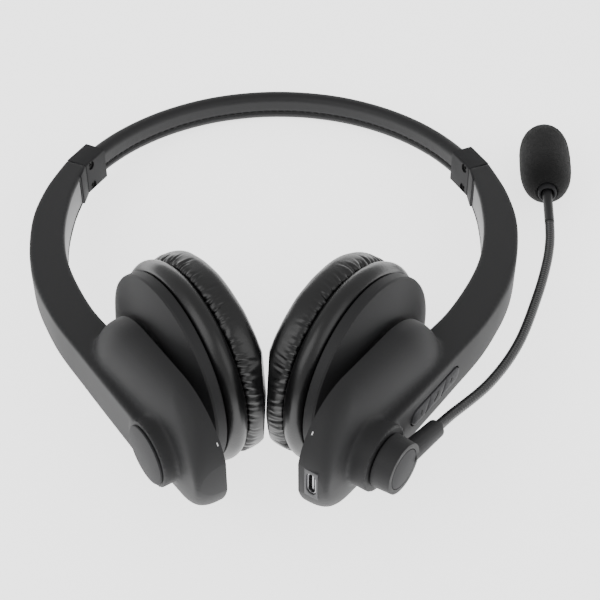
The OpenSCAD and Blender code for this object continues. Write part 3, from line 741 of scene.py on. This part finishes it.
cushion = blankCushion()
for side, spin in (("right", 0), ("left", 2.2)):
    piece = cushion
    if side == "left":
        piece = bpy.data.objects.new("leftCushion", cushionMesh)
        scene.collection.objects.link(piece)
    else:
        cushionMesh = cushion.data.copy()
    piece.name = side + "Cushion"
    piece.data.transform(cups[side] @ Matrix.Rotation(spin, 4, "Z"))
    addCreases(piece, cups[side], cushionSettings, cushionSettings["seed"] + sides[side])
    keepOwnSide(piece, side, cushionSettings)
    handOver(piece, side + "_cup", looks["cushionLeather"],
             [side + "_cushion_cover", side + "_cushion_foam"], 180)
print("ear cushions done")

# ---- headband

bandSettings = {
    "r": 89.2, "z": 28.6, "halfThick": 3.3, "halfDepth": 6, "corner": 2.9, "endAngle": 28.2,
    "seamAt": 2.0, "seamDeep": 0.75, "seamWide": 0.7, "stations": 300, "seed": 3,
    "stitch": 2.5, "pitch": 3.3, "thread": 0.27,
}


def bandPoint(angle, out, depth):
    b = bandSettings
    radius = b["r"] + out
    return (radius * math.cos(angle), depth, b["z"] + radius * math.sin(angle))


def headbandSleeve():
    b = bandSettings
    flat = roundedRing(b["halfThick"], b["halfDepth"], b["corner"], 9)
    section = []
    for index, (a, c) in enumerate(flat):
        nextA, nextC = flat[(index + 1) % len(flat)]
        pieces = max(1, round(math.hypot(nextA - a, nextC - c) / 0.4))
        section += [(a + (nextA - a) * k / pieces, c + (nextC - c) * k / pieces) for k in range(pieces)]
    start, end = math.radians(b["endAngle"] - 1.5), math.radians(181.5 - b["endAngle"])
    rings = []
    for station in range(b["stations"] + 1):
        angle = start + (end - start) * station / b["stations"]
        along = angle * b["r"]
        pucker = noise.noise(Vector((along / 2.4, 0, b["seed"])))
        ring = []
        for out, depth in section:
            crown = 0.35 * noise.noise(Vector((along / 16, out / 6, depth / 6)))
            scale = 1 + 0.03 * crown
            push = 0.0
            if out < 0:
                near = (depth - b["seamAt"]) / b["seamWide"]
                push = b["seamDeep"] * math.exp(-near * near)
                push += 0.22 * pucker * math.exp(-abs(depth - b["seamAt"]) / 1.6)
            ring.append(bandPoint(angle, out * scale + push, depth * scale))
        rings.append(ring)
    piece = skinOver("headbandSleeve", rings, upright)
    handOver(piece, "headband", looks["bandLeather"],
             ["band_sleeve", "band_padding"], 60)


def bandStitches():
    b = bandSettings
    count = int(math.radians(178 - 2 * b["endAngle"]) * b["r"] / b["pitch"])
    stitches = []
    for index in range(count):
        middle = math.pi / 2 + (index - (count - 1) / 2) * b["pitch"] / b["r"]
        rings = []
        for step in range(9):
            share = step / 8
            angle = middle + (share - 0.5) * b["stitch"] / b["r"]
            lift = 0.3 * math.sin(math.pi * share)
            girth = b["thread"] * math.sin(math.pi * (0.12 + 0.76 * share)) ** 0.5
            rings.append([bandPoint(angle, -b["halfThick"] + 0.45 - lift + girth * math.cos(t), b["seamAt"]
                                    + girth * math.sin(t)) for t in (k * math.pi / 4 for k in range(8))])
        stitches.append(skinOver("stitch", rings, upright))
    piece = merged("bandStitches", stitches)
    handOver(piece, "headband", looks["stitchThread"])


headbandSleeve()
bandStitches()
print("headband done")

# ---- boom: ribbed gooseneck, sleeve end, collar and windscreen

boomSettings = {
    "route": [(56, 4.2, -83.25), (59.4, 5.35, -78.4), (64, 6.8, -71.9), (79.5, 6.8, -55.2), (92, 6, -35),
              (101.9, 5, -9.3), (107.6, 3.5, 9), (110.4, 2.4, 22), (111.6, 1.6, 33.5)],
    "radius": 1.95, "ribPitch": 1.15, "ribDeep": 0.34, "lean": 4.5,
    "ferruleR": 1.97, "ferruleLength": 19, "collarR": 3.9,
    "foamR": 11, "foamLength": 42.5, "foamBase": 20.6, "foamSquare": 3.1, "neckR": 4.4,
}


def gooseneck():
    b = boomSettings
    fine = [curvePoint(b["route"], i / 400) for i in range(401)]
    walked, stations = 0.0, [fine[0]]
    step = b["ribPitch"] / 4
    for before, after in zip(fine, fine[1:]):
        gap = (after - before).length
        while walked + gap >= step:
            before = before + (after - before) * ((step - walked) / gap)
            stations.append(before)
            gap, walked = (after - before).length, 0.0
        walked += gap
    rings = []
    for index, middle in enumerate(stations):
        ahead = (stations[min(index + 1, len(stations) - 1)] - stations[max(index - 1, 0)]).normalized()
        across = ahead.cross(Vector((0, 1, 0))).normalized()
        up = across.cross(ahead)
        radius = b["radius"] - b["ribDeep"] * (0, 0.35, 1, 0.35)[index % 4]
        rings.append([middle + radius * (math.cos(t) * across + math.sin(t) * up)
                      for t in (2 * math.pi * k / 20 for k in range(20))])
    piece = skinOver("gooseneck", rings, upright)
    handOver(piece, "boom", looks["ribbedSleeve"], ["gooseneck"], 70)


micFrame = upright @ Matrix.Translation(Vector(boomSettings["route"][-1]) * mm) @ Matrix.Rotation(
    math.radians(boomSettings["lean"]), 4, "Y")


def sleeveEnd():
    b = boomSettings
    r, top = b["ferruleR"], b["ferruleLength"]
    profile = [(0, -1), (r - 0.25, -1), (r - 0.02, -0.7), (r, 0), (r, top + 4), (0, top + 4)]
    piece = turned("boomFerrule", profile, micFrame, steps=40)
    handOver(piece, "boom", looks["innerAbs"], ["boom_ferrule"])
    c = b["collarR"]
    profile = [(2.6, top + 2), (2.75, top + 0.4), (3, top), (c - 0.5, top - 0.2), (c - 0.1, top + 0.15),
               (c, top + 0.6), (c, top + 12), (2.6, top + 12), (2.6, top + 2)]
    piece = turned("micHousing", profile, micFrame, steps=64)
    handOver(piece, "boom", looks["satinAbs"], ["mic_housing"])


def windscreen():
    b = boomSettings
    neck = b["neckR"]
    profile = [(neck - 0.6, 6), (neck - 0.4, 3), (neck - 0.1, 0.8), (neck + 0.5, 0.2)]
    for step in range(1, 100):
        turn = math.pi * step / 99
        c, sn = math.cos(turn), math.sin(turn)
        height = b["foamLength"] * (0.5 - 0.5 * math.copysign(abs(c) ** (2 / b["foamSquare"]), c))
        radius = b["foamR"] * max(sn, 0) ** (2 / b["foamSquare"]) * (1.01 - 0.05 * step / 99)
        if radius > profile[3][0] or step > 50:
            profile.append((radius, height))
    rings = []
    for radius, height in profile:
        ring = []
        for k in range(200):
            angle = 2 * math.pi * k / 200
            bare = Vector((radius * math.cos(angle), radius * math.sin(angle), b["foamBase"] + height))
            rough = 0.1 * noise.noise(bare / 0.5) + 0.06 * noise.noise(bare / 1.4) if radius > 5 else 0
            ring.append((bare.x * (1 + rough / 10), bare.y * (1 + rough / 10), bare.z + rough * 0.5))
        rings.append(ring)
    piece = skinOver("windscreen", rings, micFrame)
    handOver(piece, "boom", looks["windscreenFoam"], ["mic_foam"], 180)


gooseneck()
sleeveEnd()
windscreen()
print("boom done")

# ---- keys


def key(name, index):
    k = keySettings
    slope = math.tan(math.radians(k["slant"]))
    low = {-1: -99, 0: -k["split"] + 0.2, 1: k["split"] + 0.2}[index]
    high = {-1: -k["split"] - 0.2, 0: k["split"] - 0.2, 1: 99}[index]

    def inside(x, y):
        shift = k["middle"] + y * slope
        half = k["length"] / 2 - k["width"] / 2
        x = min(max(x, low + shift), high + shift)
        reach = math.sqrt(max(0, (k["width"] / 2) ** 2 - y * y))
        return min(max(x, k["middle"] - half - reach), k["middle"] + half + reach)

    bpy.ops.mesh.primitive_grid_add(x_subdivisions=k["columns"], y_subdivisions=k["rows"], size=1)
    piece = bpy.context.object
    piece.name = camel(name)
    for vertex in piece.data.vertices:
        share = math.sin(math.pi * vertex.co.y)
        y = share * (k["width"] / 2 - 0.02)
        left, right = inside(-99, y), inside(99, y)
        across = vertex.co.x + 0.5
        crown = (1 - share ** 4) * (1 - abs(2 * across - 1) ** 6)
        height = k["top"] - k["crown"] + k["crown"] * crown
        vertex.co = Vector((left + (right - left) * across, y, height)) * mm

    def thicken():
        bpy.ops.mesh.extrude_region_move(TRANSFORM_OT_translate={"value": (0, 0, -k["deep"] * mm)})
        bpy.ops.mesh.select_all(action="SELECT")
        bpy.ops.mesh.normals_make_consistent(inside=False)

    inEditMode(piece, thicken)
    piece.data.transform(cups["right"])
    finishWith(piece, "BEVEL", width=0.25 * mm, segments=2, limit_method="ANGLE",
               angle_limit=math.radians(50))
    handOver(piece, name, looks["siliconeKeys"], [name])


def keyMark(name, index, bars):
    # A plain raised sign made of short bars: middle, length and turn of each
    k = keySettings
    pieces = []
    for x, y, length, turn in bars:
        c, sn = math.cos(math.radians(turn)), math.sin(math.radians(turn))
        ring = roundedRing(length / 2, 0.32, 0.3)
        middle = k["middle"] + index * (k["split"] + 4.6) + x
        pieces.append(skinOver("bar", [[(middle + a * c - b * sn, y + a * sn + b * c, z) for a, b in ring]
                                       for z in (k["top"] - 0.3, k["top"] + 0.12)], cups["right"]))
    handOver(merged(camel(name) + "Mark", pieces), name, looks["keyMarks"])


signs = {
    "volume_up_key": (-1, [(0, 0, 2.6, 0), (0, 0, 2.6, 90)]),
    "call_key": (0, [(0, 0, 3, 45), (-0.95, -1.35, 1.3, -10), (1.35, 0.95, 1.3, 100)]),
    "volume_down_key": (1, [(0, 0, 2.6, 90)]),
}
for name, (index, bars) in signs.items():
    key(name, index)
    keyMark(name, index, bars)
print("keys done")

# ---- the small pale marks in the shells' rims

# Each side has its turn round the shell's rim in degrees, and its height
markSettings = {"right": (-41, 13.7), "left": (-31, 13.1), "length": 1.2, "width": 0.4, "sunk": 1.5,
                "proud": 0.06}


def rimMark(side):
    s, (turn, height) = shellSettings, markSettings[side]
    c, sn = math.cos(math.radians(turn)), math.sin(math.radians(turn))
    ring = roundedRing(markSettings["length"] / 2, markSettings["width"] / 2, 0.1)
    rings = [[(s["rimEnds"][0] + radius * c - a * sn, radius * sn + a * c, height + b) for a, b in ring]
             for radius in (s["rimR"] - markSettings["sunk"], s["rimR"] + markSettings["proud"])]
    if side == "left":
        rings = [[(x, -y, z) for x, y, z in ring] for ring in rings]
    piece = skinOver(side + "RimMark", rings, cups[side])
    handOver(piece, side + "_arm", looks["lensPc"], ["status_lens"] if side == "right" else [])


for side in sides:
    rimMark(side)

# ---- the cloth over the speakers, slightly domed

clothSettings = {"r": 19.2, "back": -7.0, "edge": -7.35, "dome": 0.5, "steps": 8}


def speakerCloth(side):
    s = clothSettings
    profile = [(0, s["back"]), (s["r"] + 0.1, s["back"]), (s["r"], s["edge"])]
    for step in range(1, s["steps"] + 1):
        share = step / s["steps"]
        profile.append((s["r"] * (1 - share), s["edge"] - 0.05 - s["dome"] * math.sin(math.pi / 2 * share)))
    piece = turned(side + "SpeakerCloth", profile, cups[side], steps=72)
    handOver(piece, side + "_cup", looks["speakerCloth"], [side + "_speaker_cloth"])


for side in sides:
    speakerCloth(side)

# ---- floor and studio light

stageSettings = {"floor": 6, "glow": 2.0, "sky": 0.8, "key": 5, "fill": 3, "floorColor": "#f6f6f6"}


def studio(settings):
    bpy.ops.mesh.primitive_plane_add(size=settings["floor"])
    floor = bpy.context.object
    floor.name = "floor"
    # Opal acrylic over a light table
    material, *_ = startMaterial("opalAcrylic", settings["floorColor"], 0.9,
                                 Emission_Color=tone("#ffffff"), Emission_Strength=settings["glow"])
    floor.data.materials.append(material)
    world = bpy.data.worlds.new("studio")
    scene.world = world
    world.use_nodes = True
    world.node_tree.nodes["Background"].inputs["Color"].default_value = tone("#ffffff")
    world.node_tree.nodes["Background"].inputs["Strength"].default_value = settings["sky"]
    for name, power, size, place in (("keyLight", settings["key"], 0.9, (-0.7, -0.5, 0.9)),
                                     ("fillLight", settings["fill"], 0.9, (0.8, -0.6, 0.8))):
        bpy.ops.object.light_add(type="AREA", location=place)
        lamp = bpy.context.object
        lamp.name = name
        lamp.data.energy = power
        lamp.data.size = size
        lamp.rotation_euler = (-Vector(place)).to_track_quat("-Z", "Y").to_euler()


studio(stageSettings)
